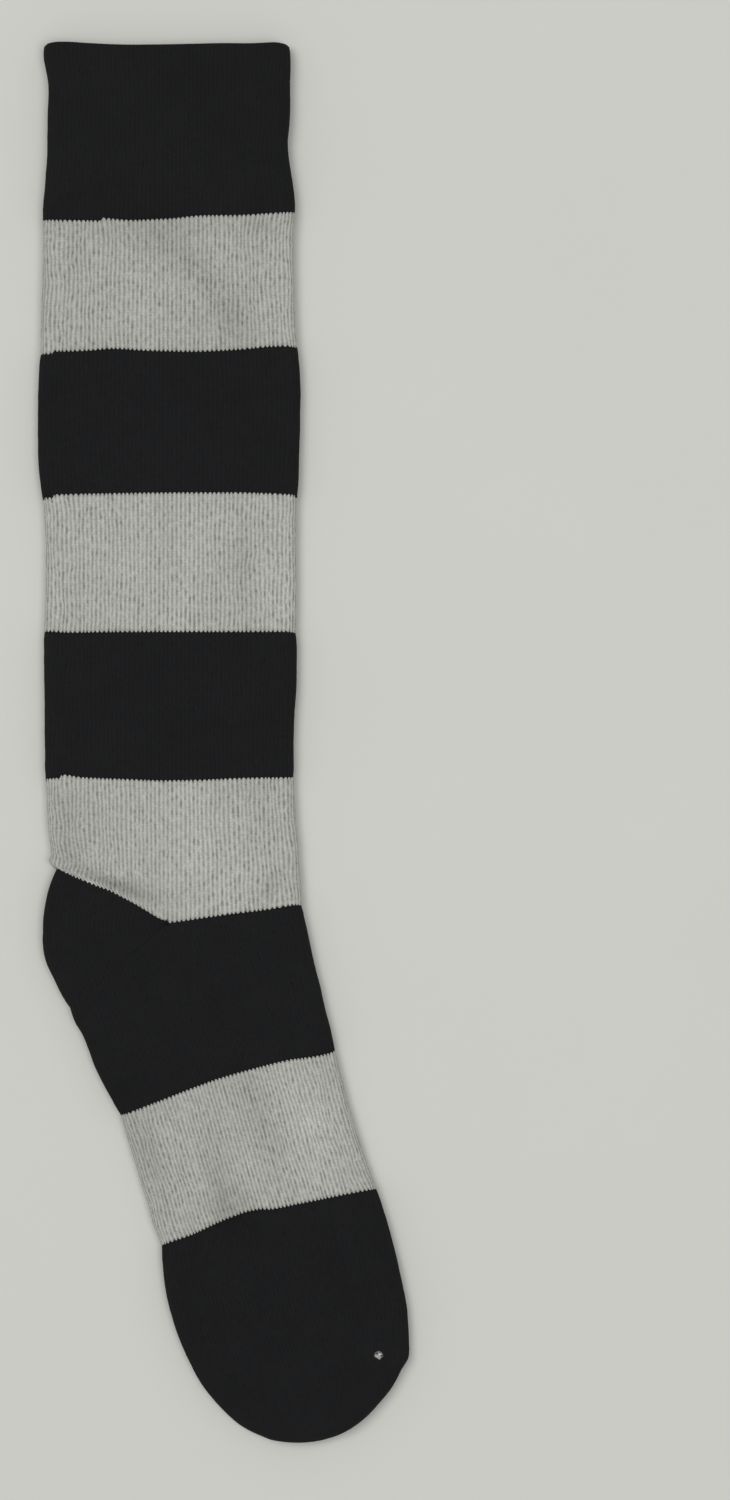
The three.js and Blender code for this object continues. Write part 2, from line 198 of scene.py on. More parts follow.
footStripe = {
    "name": "foot_stripe", "yarn": "light", "length": 51.2, "jog": None, "tone": -0.07,
    "rows": [
        {"at": 0, "left": 1.005, "right": 1.02, "high": 1, "bow": -0.065, "lean": 0.8},
        {"at": 0.35, "left": 0.998, "right": 1.002, "high": 0.98, "bow": -0.05, "peak": -0.02},
        {"at": 0.65, "left": 0.992, "right": 1.005, "high": 0.98, "bow": -0.03, "peak": -0.045,
         "lean": -0.7},
        {"at": 0.87, "left": 0.99, "right": 1.018, "high": 1, "bow": -0.01, "peak": -0.07, "lean": -1.2},
        {"at": 1, "left": 0.975, "right": 1.034, "high": 1, "peak": -0.082, "lean": -1.4},
    ],
    "hem": {"across": [-1, -0.9, -0.7, -0.58, -0.47, -0.36, -0.25, -0.15, -0.04, 0.07, 0.3, 0.7, 1],
            "down": [-0.4, -0.45, -0.35, -0.75, -1.2, -1.5, -1.6, -1.6, -1, 0, -0.15, -0.55, -0.7]},
}
toeCap = {
    "name": "toe_cap", "yarn": "dark", "length": 83.4, "jog": None,
    "rows": [
        {"at": 0, "left": 0.973, "right": 1.034, "high": 1, "peak": -0.082, "lean": -1.4},
        {"at": 0.18, "left": 1.046, "right": 1.043, "high": 1, "peak": -0.05, "lean": -1},
        {"at": 0.36, "left": 1.058, "right": 1.033, "high": 1, "peak": -0.02, "lean": -0.6},
        {"at": 0.54, "left": 1.013, "right": 1.003, "high": 0.98, "lean": -0.3},
        {"at": 0.63, "left": 0.966, "right": 0.966, "high": 0.975, "lean": -0.1},
        {"at": 0.71, "left": 0.898, "right": 0.927, "high": 0.97},
        {"at": 0.765, "left": 0.84, "right": 0.887, "high": 0.96},
        {"at": 0.8, "left": 0.797, "right": 0.806, "high": 0.96},
        {"at": 0.84, "left": 0.741, "right": 0.73, "high": 0.96},
        {"at": 0.88, "left": 0.664, "right": 0.639, "high": 0.95},
        {"at": 0.94, "left": 0.512, "right": 0.453, "high": 0.95},
        {"at": 1, "left": 0.36, "right": 0.27, "high": 0.95},
    ],
    "meshRows": 56,
    "tipFrom": 0.94, "tipEnd": 1.005,         # where the outline rounds off to the tip, and its end
}
heelPocket = {
    "name": "heel_pocket", "yarn": "dark",
    "rows": [                                 # turn is the share of the fan, from the leg to the foot
        {"turn": 0, "reach": 0.977, "high": 1.02},
        {"turn": 0.14, "reach": 0.973, "high": 1.05},
        {"turn": 0.3, "reach": 0.979, "high": 1.08},
        {"turn": 0.45, "reach": 0.989, "high": 1.1},
        {"turn": 0.62, "reach": 1.011, "high": 1.08},
        {"turn": 0.8, "reach": 1.004, "high": 1.05},
        {"turn": 0.92, "reach": 1.018, "high": 1.03},
        {"turn": 1, "reach": 1.025, "high": 1.02},
    ],
    "meshRows": 40, "shortLast": 1.0245,      # the last mesh row is short, so the pocket ends crisply
    "firstCourse": 300,
    "tuckFade": 10,                           # the tuck below the ankle stripe ends after 1/10 of the fan
    "goreRise": 0.3, "goreWide": 0.9,         # the raised line where the pocket's rows turn
    "goreStart": 8,                           # it is full this far from the ankle
}
legBands = [cuff, calfStripe, calfBand, shinStripe, shinBand, ankleStripe]
footBands = [instepBand, footStripe, toeCap]

# Soft folds of the upper layer, and shade and light painted into its yarn. x and y are the middle seen from
# above, long and wide the half lengths, and rise the height, all in millimetres. turn is the fold's
# direction in degrees from the right. The last value is painted shade (below 0), greying the yarn in folds
# and hollows, or painted light (above 0), paling it on rises and along edges that turn away from the key
# light. Those with no rise are painted shade or light alone.
foldsAndPaintedShade = [
    {"x": -19.4, "y": 181.8, "long": 13, "wide": 6, "turn": -45, "rise": -1.0, "paintedShade": -0.09},
    {"x": -5.5, "y": 168, "long": 13, "wide": 5.5, "turn": -52, "rise": -0.8, "paintedShade": -0.11},
    {"x": 2.8, "y": 153.5, "long": 11, "wide": 5, "turn": -62, "rise": -0.7, "paintedShade": -0.13},
    {"x": -20, "y": 188.6, "long": 60, "wide": 5, "turn": 2, "rise": 0, "paintedShade": -0.07},
    {"x": -13, "y": 74, "long": 18, "wide": 6, "turn": 90, "rise": 0, "paintedShade": 0.05},
    # These two paint light along the right edges of the calf and shin stripes, which turn away from the key
    # light
    {"x": 25.6, "y": 166, "long": 30, "wide": 3.2, "turn": 90, "rise": 0, "paintedShade": 0.16},
    {"x": 25.4, "y": 65, "long": 30, "wide": 3.2, "turn": 90, "rise": 0, "paintedShade": 0.11},
    {"x": 8.5, "y": 68, "long": 26, "wide": 5, "turn": 90, "rise": 0, "paintedShade": -0.05},
    {"x": 12.7, "y": 187.6, "long": 5, "wide": 2.2, "turn": 0, "rise": -0.3, "paintedShade": -0.08},
    {"x": -54.5, "y": 181, "long": 8, "wide": 1.4, "turn": 90, "rise": -0.2, "paintedShade": -0.06},
    {"x": 17, "y": 156, "long": 9, "wide": 6, "turn": 90, "rise": 0.6, "paintedShade": 0.05},
    {"x": -30, "y": 160, "long": 16, "wide": 8, "turn": -50, "rise": 0.5, "paintedShade": 0.03},
    {"x": 6.9, "y": 67.9, "long": 13, "wide": 2, "turn": 90, "rise": -0.4, "paintedShade": -0.06},
    {"x": 17.1, "y": 60.6, "long": 12, "wide": 5, "turn": 90, "rise": 0.4, "paintedShade": 0.04},
    {"x": -35.5, "y": 66.4, "long": 12, "wide": 7, "turn": 75, "rise": 0.35, "paintedShade": 0.03},
    {"x": -56.6, "y": -29.9, "long": 11, "wide": 5, "turn": 90, "rise": -0.5, "paintedShade": -0.07},
    {"x": -10, "y": -33, "long": 16, "wide": 6, "turn": 90, "rise": 0.5, "paintedShade": 0.09},
    {"x": -56, "y": -41, "long": 9, "wide": 6, "turn": -60, "rise": 0, "paintedShade": -0.09},
    {"x": -32, "y": -54, "long": 10, "wide": 4, "turn": -26, "rise": 0, "paintedShade": -0.2},
    {"x": 12, "y": -17, "long": 14, "wide": 5, "turn": 0, "rise": 0, "paintedShade": -0.09},
    {"x": -59, "y": -20, "long": 7, "wide": 5, "turn": 80, "rise": 0, "paintedShade": -0.1},
    {"x": 17.5, "y": -52, "long": 8, "wide": 4, "turn": 60, "rise": 0, "paintedShade": -0.13},
    {"x": 13.4, "y": -30.6, "long": 12, "wide": 6, "turn": 84, "rise": -0.5, "paintedShade": -0.06},
    {"x": -42, "y": -50.6, "long": 13, "wide": 1.8, "turn": -24, "rise": -1.0, "paintedShade": -0.28},
    {"x": -46, "y": -51.8, "long": 14, "wide": 0.9, "turn": -22, "rise": 0.45, "paintedShade": 0.15},
    {"x": -28.2, "y": -150.7, "long": 14, "wide": 6, "turn": -74, "rise": -0.4, "paintedShade": -0.06},
    {"x": -10.7, "y": -150.7, "long": 20, "wide": 2, "turn": -78, "rise": 0.4, "paintedShade": 0.05},
    {"x": 10.5, "y": -128.8, "long": 9, "wide": 6, "turn": -70, "rise": -0.7, "paintedShade": -0.1},
    {"x": 18.5, "y": -147.8, "long": 15, "wide": 4.5, "turn": -70, "rise": -0.9, "paintedShade": -0.07},
    {"x": 32, "y": -140, "long": 24, "wide": 12, "turn": -72, "rise": 0.7, "paintedShade": 0.12},
    {"x": -27, "y": -150, "long": 22, "wide": 6, "turn": -74, "rise": 0, "paintedShade": -0.06},
    {"x": -1, "y": -162, "long": 14, "wide": 4.5, "turn": -74, "rise": -0.3, "paintedShade": -0.1},
    {"x": 9.8, "y": -156, "long": 11, "wide": 2.6, "turn": -80, "rise": 0.3, "paintedShade": 0.07},
    {"x": 3, "y": -172, "long": 9, "wide": 8, "turn": 20, "rise": 0, "paintedShade": -0.16},
    {"x": -10, "y": 110, "long": 22, "wide": 9, "turn": -60, "rise": -0.4, "paintedShade": 0},
    {"x": -18, "y": 14, "long": 20, "wide": 9, "turn": 70, "rise": -0.4, "paintedShade": 0},
    {"x": 8, "y": -95, "long": 22, "wide": 7, "turn": -60, "rise": -0.5, "paintedShade": 0},
    {"x": 38, "y": -197, "long": 42, "wide": 1.1, "turn": -41, "rise": 0.3, "paintedShade": 0},
]
foldEnd = 6                   # how far out, squared, a fold is still felt
for fold in foldsAndPaintedShade:
    fold["cos"] = math.cos(math.radians(fold["turn"]))
    fold["sin"] = math.sin(math.radians(fold["turn"]))

legLength = sum(band["length"] for band in legBands)
widestLeft = max(row["left"] for row in calfBand["rows"])
ankle = Vector((cadLow.x / mm + sock["legWidth"] / 2 * widestLeft, cadHigh.y / mm - legLength))


# A smooth curve through a few values
def curveThrough(places, values, place):
    last = len(places) - 1

    def slope(i):
        before, after = max(i - 1, 0), min(i + 1, last)
        return (values[after] - values[before]) / (places[after] - places[before])

    i = 0
    while i < last - 1 and places[i + 1] <= place:
        i += 1
    span = places[i + 1] - places[i]
    t = (place - places[i]) / span
    rise = values[i + 1] - values[i]
    bend = (1 - t) * (slope(i) * span - rise) - t * (slope(i + 1) * span - rise)
    return values[i] + t * rise + t * (1 - t) * bend


def columnAt(rows, placeColumn, name, place):
    return curveThrough([row[placeColumn] for row in rows], [row.get(name, 0) for row in rows], place)


def turned(across, up, degrees):
    angle = math.radians(degrees)
    return Vector((across * math.cos(angle) - up * math.sin(angle),
                   across * math.sin(angle) + up * math.cos(angle)))


# One side of a row: where its middle and edge are, seen from above the ankle
def rowSide(band, at, side):
    values = {name: columnAt(band["rows"], "at", name, at)
              for name in ("left", "right", "high", "vee", "bow", "peak", "lean")}
    vee = values["vee"]
    half = (band["width"] * (1 - vee) + sock["legWidth"] * vee) / 2
    reach = half * values["left" if side < 0 else "right"]
    veeAngle = sock["goreAngle"] if side < 0 else band["instepBend"]
    line = turned(side * reach, 0, side * vee * veeAngle * band["direction"] + values["lean"])
    full = band["thickness"] * values["high"]
    return {
        "reach": reach, "line": line, "half": half, "bow": values["bow"], "peak": values["peak"],
        "middle": Vector(((1 - vee) * band["forward"], band["start"] - at * band["length"])),
        "level": full / 2, "roll": full / 2, "proud": 1,
        "out": turned(line.x / reach, line.y / reach, band["angle"]),
        "angle": band["angle"],
    }


# A place on a row, seen from above. share runs from its middle (0) to its edge (1).
def alongRow(side, share, down):
    ahead = side["half"] * (side["bow"] * (1 - share * share) + side["peak"] * (1 - share))
    place = side["middle"] + side["line"] * share
    return turned(place.x, place.y - ahead - down, side["angle"])


# The rise of the folds, and the shade or light they paint into the yarn, at a place seen from above
def foldsAt(x, y):
    rise, paintedShade = 0, 0
    for fold in foldsAndPaintedShade:
        aside, ahead = x - fold["x"], y - fold["y"]
        along = (aside * fold["cos"] + ahead * fold["sin"]) / fold["long"]
        across = (ahead * fold["cos"] - aside * fold["sin"]) / fold["wide"]
        far = along * along + across * across
        if far < foldEnd:
            weight = math.exp(-far)
            rise += fold["rise"] * weight
            paintedShade += fold["paintedShade"] * weight
    return rise, paintedShade


# A place on a half loop of the flat tube: over the top from its middle, round the fold and back below.
# It gives the distance from the middle, the height, and which way the cloth faces there.
def halfLoop(reach, roll, share):
    fold = min(roll, reach * sock["foldShare"])
    flat = reach - fold
    curve = math.pi * (fold + roll) / 2
    way = share * (2 * flat + curve)
    if way < flat:
        return way, roll, 0, 1
    if way > flat + curve:
        return max(2 * flat + curve - way, 0), -roll, 0, -1
    angle = math.pi * (way - flat) / curve
    return flat + fold * math.sin(angle), roll * math.cos(angle), math.sin(angle), math.cos(angle)


def ribAt(wale):
    return abs(math.sin(math.pi * wale)) ** knit["ribShape"]


# 1 on a ridge, where the light stitches reach out, and -1 in a valley
def toothAt(wale):
    return 2 * abs(math.sin(math.pi * wale)) ** knit["toothShape"] - 1


def waveRound(wave, turn, level):
    place = (turn * wave["round"], level / wave["along"], wave["slice"])
    return wave["share"] * noise.noise(place)


def waveAt(wave, plan):
    place = (plan.x / wave["length"], plan.y / wave["length"], wave["slice"])
    return wave["share"] * noise.noise(place)


# The rows run round in a spiral, so a change of yarn steps by one course where it starts
def jogAt(band, turn):
    if band is None or band["jog"] is None:
        return 0
    return knit["course"] * (1 - (turn - band["jog"]) % 1)


def hemAt(hem, across):
    return curveThrough(hem["across"], hem["down"], across)


# How far a place near one end of a band (-1 the start, 1 the end) is shifted down, and how deep it is tucked
# in. boundary is the band whose hem runs there, and other the band beyond it.
def endShift(band, other, boundary, turn, across, ease, distance, end):
    down, tuckedIn = 0, 0
    felt = max(0, 1 - distance / knit["hemFade"]) ** 2
    onHeel = band is instepBand and end < 0 and across < 0
    if felt > 0 and boundary and "hem" in boundary and not onHeel:
        down += ease * felt * hemAt(boundary["hem"], across)
    fade = max(0, 1 - distance / knit["toothFade"])
    if fade == 0:
        return down, 0
    down += fade * jogAt(boundary, turn)
    if other and other["yarn"] != band["yarn"]:
        if band["yarn"] == "light":
            size = band.get("heelTooth", 1) if end > 0 and turn < 0.5 else 1
            down += fade * end * size * knit["tooth"] * toothAt(turn * knit["wales"])
        else:
            hidden = knit["tuck"] - (knit["joinTuck"] * across if onHeel else 0)
            down += fade * end * hidden
            tuckedIn = fade * (knit["joinDepth"] if onHeel else knit["tuckDepth"])
    return down, tuckedIn


# A place on a band, with its stitches. turn is the share of the way round, from the top's middle leftwards.
# It gives the place, and the shade or light painted into the yarn there with the band's tone added, on the
# upper layer only.
def knittedPlace(band, sides, at, turn, inset):
    left = turn < 0.5
    side = sides[0] if left else sides[1]
    share = 2 * turn if left else 2 * (1 - turn)
    reach, roll = side["reach"] - inset, side["roll"] - inset
    level = band["start"] - at * band["length"]
    sway = waveRound(waves["sway"], turn, level) + waveRound(waves["shake"], turn, level)
    sway *= knit["sway"] * side["proud"] / reach
    share = min(max(share + sway * math.sin(math.pi * share), 0), 1)
    distance, height, outward, upward = halfLoop(reach, roll, share)
    across = (-1 if left else 1) * distance / side["reach"]
    ease = (upward + 1) / 2

    fromStart, fromEnd = at * band["length"], (1 - at) * band["length"]
    down, tuckedIn = endShift(band, band["above"], band["above"], turn, across, ease, fromStart, -1)
    downEnd, tuckedEnd = endShift(band, band["below"], band, turn, across, ease, fromEnd, 1)
    down += downEnd
    tuckedIn += tuckedEnd
    if "mouth" in band:
        down += hemAt(band["mouth"], across) * max(0, 1 - fromStart / knit["hemFade"]) ** 2

    plan = alongRow(side, distance / side["reach"], down)
    wave = waveAt(waves["leftEdge" if left else "rightEdge"], plan) + waveAt(waves["fineEdge"], plan)
    slow = waveAt(waves["swell"], plan)
    rise, paintedShade = 0, 0
    if upward > 0 and inset == 0:
        rise, paintedShade = foldsAt(ankle.x + plan.x, ankle.y + plan.y)
    proud = knit["ribDepth"] * (ribAt(turn * knit["wales"]) - 1) - tuckedIn
    proud += knit["edgeWave"] * wave * outward + knit["swell"] * slow * ease * (1 - outward)
    proud *= side["proud"]
    plan += side["out"] * outward * proud
    height += upward * proud + rise * max(upward, 0) * side["proud"]
    place = Vector((ankle.x + plan.x, ankle.y + plan.y, side["level"] + height)) * mm
    return place, (paintedShade + band.get("tone", 0)) * max(upward, 0)


# A flat net of one face per stitch flank, with a knit map that counts wales across and courses down
def stitchNet(across, down, courses, wales, firstCourse):
    bm = bmesh.new()
    knitMap = bm.loops.layers.uv.new("knit")
    # a layer for the shade and light painted into the yarn
    bm.verts.layers.float.new("paintedShade")
    bmesh.ops.create_grid(bm, x_segments=across, y_segments=down, size=0.5, calc_uvs=True)
    for face in bm.faces:
        for loop in face.loops:
            place = loop[knitMap].uv
            loop[knitMap].uv = (place.x * wales, firstCourse + (1 - place.y) * courses)
    return bm


# Makes the piece of one band. A wall above 0 gives the net its thickness, on the inside.
def finishKnit(bm, band, wall):
    bmesh.ops.remove_doubles(bm, verts=bm.verts, dist=knit["weld"] * mm)
    bmesh.ops.recalc_face_normals(bm, faces=bm.faces)
    mesh = bpy.data.meshes.new(band["name"] + "_knit")
    bm.to_mesh(mesh)
    bm.free()
    mesh.shade_smooth()
    piece = bpy.data.objects.new(band["name"] + "_knit", mesh)
    bpy.context.collection.objects.link(piece)
    if wall:
        solid = piece.modifiers.new("wall", "SOLIDIFY")
        solid.thickness = (wall - knit["ribDepth"]) * mm
        solid.offset = -1
    mesh.materials.append(yarns[band["yarn"]])
    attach(piece, "root")
    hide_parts(band["name"])
    band["yarn"] + "_yarn"
    print(piece.name, "knitted with", len(mesh.polygons), "faces")


def firstCourse(band):
    return (legLength - band["start"]) / knit["course"]


# Sets every vertex of a net on its band. rowOf gives a row's place along it, its sides and its inset.
def setNet(bm, band, rowOf):
    # each vertex keeps the shade or light painted into the yarn there
    paintedShades = bm.verts.layers.float["paintedShade"]
    rows = {}
    for vert in bm.verts:
        row = round(0.5 - vert.co.y, 5)
        if row not in rows:
            rows[row] = rowOf(row)
        at, sides, inset = rows[row]
        vert.co, vert[paintedShades] = knittedPlace(band, sides, at, vert.co.x + 0.5, inset)


def knitBand(band):
    rows = round(band["length"] / knit["rowStep"])
    bm = stitchNet(knit["wales"] * knit["stepsPerWale"], rows, band["length"] / knit["course"],
                   knit["wales"], firstCourse(band))
    setNet(bm, band, lambda row: (row, [rowSide(band, row, -1), rowSide(band, row, 1)], 0))
    finishKnit(bm, band, sock["knitWall"])


# The cuff is one cloth folded in at its mouth: up the outside, over the lip, and down the inside
def knitCuff(band):
    outerRows = round(band["length"] / knit["rowStep"])
    lipRows, allRows = band["lipSteps"], outerRows + band["lipSteps"] + band["innerRows"]
    lip = sock["cuffWall"] / 2
    bm = stitchNet(knit["wales"] * knit["stepsPerWale"], allRows, 2 * band["length"] / knit["course"],
                   knit["wales"], firstCourse(band))

    def rowOf(row):
        step = round(row * allRows)
        if step <= outerRows:
            down, inset = band["length"] - (band["length"] - lip) * step / outerRows, 0
        elif step <= outerRows + lipRows:
            angle = math.pi * (step - outerRows) / lipRows
            down, inset = lip * (1 - math.sin(angle)), lip * (1 - math.cos(angle))
        else:
            inside = (step - outerRows - lipRows) / band["innerRows"]
            down, inset = lip + (band["length"] - lip) * inside, 2 * lip
        at = down / band["length"]
        return at, [rowSide(band, at, -1), rowSide(band, at, 1)], inset

    setNet(bm, band, rowOf)
    bmesh.ops.remove_doubles(bm, verts=bm.verts, dist=band["innerWeld"] * mm)
    openEdges = [edge for edge in bm.edges if edge.is_boundary]
    bmesh.ops.bridge_loops(bm, edges=openEdges)
    finishKnit(bm, band, 0)


# The toe's rows close in to a rounded tip, where the upper and lower layers meet
def knitToe(band):
    rows, tip, end = band["meshRows"], band["tipFrom"], band["tipEnd"]
    bm = stitchNet(knit["wales"] * knit["stepsPerWale"], rows, band["length"] / knit["course"],
                   knit["wales"], firstCourse(band))

    def rowOf(row):
        at = end * math.sin(math.pi / 2 * row)
        pair = [rowSide(band, at, -1), rowSide(band, at, 1)]
        width = sum(side["reach"] for side in pair) / (2 * pair[0]["half"])
        for side, wide in zip(pair, (rowSide(band, tip, -1), rowSide(band, tip, 1))):
            full = side["level"]
            before = min(band["length"] * (end - at), full)
            side["roll"] = math.sqrt(max(full ** 2 - (full - before) ** 2, 0))
            if at > tip:
                narrowed = math.sqrt(max(end - at, 1e-9) / (end - tip))
                side["reach"] = wide["reach"] * narrowed
                side["line"] = wide["line"] * narrowed
                width = narrowed / 2
            side["proud"] = min(width, 1) ** 2        # the ribs get finer towards the tip
        return at, pair, 0

    setNet(bm, band, rowOf)
    finishKnit(bm, band, sock["knitWall"])


# The heel is knitted as a pocket: half loops that fan out round the ankle
def knitHeel(band):
    wales = knit["wales"] // 2
    fan = 2 * sock["goreAngle"] + sock["footAngle"]
    first = 180 - sock["goreAngle"]
    longest = math.radians(fan) * sock["legWidth"] / 2
    bm = stitchNet(wales * knit["stepsPerWale"], band["meshRows"], longest / knit["course"], wales,
                   band["firstCourse"])
    for vert in bm.verts:
        share, turn = vert.co.x + 0.5, min((0.5 - vert.co.y) * band["shortLast"], 1)
        reach = sock["legWidth"] / 2 * columnAt(band["rows"], "turn", "reach", turn)
        thickness = sock["legThickness"] * columnAt(band["rows"], "turn", "high", turn)
        distance, height, outward, upward = halfLoop(reach, thickness / 2, share)
        ease = (upward + 1) / 2
        angle = first + turn * fan
        out = turned(1, 0, angle)
        fromLeg = math.radians(turn * fan) * distance
        edge = max(0, 1 - band["tuckFade"] * turn)
        felt = max(0, 1 - fromLeg / knit["hemFade"]) ** 2 if turn < 0.5 else 0
        beyond = ease * felt * hemAt(ankleStripe["hem"], -distance / reach) - knit["tuck"] * edge
        plan = out * distance + turned(0, 1, angle) * beyond
        gore = (turn - 0.5) * math.radians(fan) * distance / band["goreWide"]
        rise = foldsAt(ankle.x + plan.x, ankle.y + plan.y)[0] if upward > 0 else 0
        proud = knit["ribDepth"] * (ribAt(share * wales) - 1) - knit["tuckDepth"] * edge
        proud += band["goreRise"] * math.exp(-gore * gore) * ease * min(distance / band["goreStart"], 1)
        proud += knit["edgeWave"] * waveAt(waves["leftEdge"], plan) * outward
        plan += out * outward * proud
        height += upward * proud + rise * max(upward, 0)
        vert.co = Vector((ankle.x + plan.x, ankle.y + plan.y, thickness / 2 + height)) * mm
    finishKnit(bm, band, sock["knitWall"])


# A wire carries one socket, so that shader maths reads as plain sums
class Wire:
    def __init__(self, tree, socket):
        self.tree = tree
        self.socket = socket

    def maths(self, operation, *others, swapped=False):
        values = [self, *others]
        if swapped:
            values.reverse()
        return self.tree.make("ShaderNodeMath", {"operation": operation}, *values)

    def __add__(self, other):
        return self.maths("ADD", other)

    def __sub__(self, other):
        return self.maths("SUBTRACT", other)

    def __rsub__(self, other):
        return self.maths("SUBTRACT", other, swapped=True)

    def __mul__(self, other):
        return self.maths("MULTIPLY", other)

    def __pow__(self, other):
        return self.maths("POWER", other)

    __radd__ = __add__

    def whole(self):
        return self.maths("FLOOR")

    def part(self):
        return self.maths("FRACT")

    def size(self):
        return self.maths("ABSOLUTE")

    def ramp(self, low, high):
        settings = {"interpolation_type": "SMOOTHSTEP", "clamp": True}
        return self.tree.make("ShaderNodeMapRange", settings, self, low, high, 0, 1)

    def scaled(self, factor):
        return self.tree.make("ShaderNodeVectorMath", {"operation": "SCALE"}, self, Scale=factor)


# The nodes of one material
class Shader:
    def __init__(self, name, constants):
        self.material = bpy.data.materials.new(name)
        self.material.use_nodes = True
        self.nodes = self.material.node_tree.nodes
        self.links = self.material.node_tree.links
        self.surface = self.nodes["Principled BSDF"]
        for socket, value in constants.items():
            self.surface.inputs[socket].default_value = value

    def make(self, kind, settings, *values, out=0, **named):
        node = self.nodes.new(kind)
        for name, value in settings.items():
            setattr(node, name, value)
        for key, value in [*enumerate(values), *named.items()]:
            self.plug(node.inputs[key], value)
        return Wire(self, node.outputs[out])

    def plug(self, socket, value):
        if isinstance(value, Wire):
            self.links.new(value.socket, socket)
        else:
            socket.default_value = value

    def feed(self, socket, value):
        self.plug(self.surface.inputs[socket], value)

    def mix(self, factor, first, second):
        return self.make("ShaderNodeMix", {"data_type": "RGBA"}, Factor=factor, A=first, B=second, out=2)

    def cells(self, x, y):
        return self.make("ShaderNodeCombineXYZ", {}, x, y, 0)

    def noiseOn(self, place, scale, detail=2.0):
        return self.make("ShaderNodeTexNoise", {}, Vector=place, Scale=scale, Detail=detail,
                         Roughness=0.6, out="Fac")


# Knitted yarn. The knit map gives the wale and the course, and noises give single stitches their shade.
# Dashes are the darker stretches seen in some valleys. unevenness is slow, and ridgeChange from stitch to
# stitch along a ridge.
# In both yarns the valley colour is darker than the ridge's as painted shade in the hollows between the
# ribs, added to the shade their relief casts.
darkYarn = {
    "ridge": (0.0118, 0.0121, 0.013, 1),
    "valley": (0.0106, 0.0109, 0.0117, 1),
    "dash": (0.008, 0.008, 0.0088, 1),
    "dashFrom": 0.62, "dashes": 0.5,
    "sheen": 0.02, "specular": 0.1, "bump": 0.4,
    "unevenness": 0.35, "ridgeChange": 0.35,
}
lightYarn = {
    "ridge": (0.515, 0.52, 0.482, 1),
    "valley": (0.328, 0.33, 0.296, 1),
    "dash": (0.12, 0.12, 0.108, 1),
    "dashFrom": 0.57, "dashes": 0.34,
    "sheen": 0.05, "specular": 0.25, "bump": 0.4,
    "unevenness": 0.25, "ridgeChange": 0.6,
}
# What both yarns share. Pairs are where a thing starts and where it is full, counted from a ridge (0) to a
# valley (1), or from the middle of a stitch (0) to its edge (1).
stitch = {
    "legSlope": 0.45,                         # how far a stitch's leg slopes down to the ridge, in courses
    "edge": (0.55, 1), "edgeShade": 0.15,     # where one stitch meets the next
    "ridgeRun": 0.6, "valleyRun": 0.38,       # changes of the yarn for each course
    "ridgeSeed": 7.31, "valleySeed": 9.17, "valleyOffset": 4.3,     # these set each wale apart
    "valley": (0.1, 0.95), "valleyShade": 2.4, "valleyLess": 0.3,
    "ridgeShade": 0.9, "deepest": 1.1,        # the depth that has the valley's full colour
    "dash": (0.35, 0.85), "dashEnd": 0.1, "dashDrift": 0.3,
    "slowScale": 60.0, "fibreScale": 1600.0, "fibreShade": 0.6,     # changes for each metre
    "ribHeight": 0.3, "edgeDepth": 0.4, "fibreHeight": 0.35,        # shares of the bump
    "bumpDistance": 0.25,                     # in millimetres
}
# A bit of light fluff caught on the toe. Its place and sizes are in millimetres.
fluff = {
    "place": (56.5, -223, 8.3), "size": 1.45, "rim": (0.7, 1.05),
    "raggedness": 1.6, "hairScale": 700.0, "hairs": (0.3, 0.55),
    "colour": (0.52, 0.52, 0.49, 1),
}


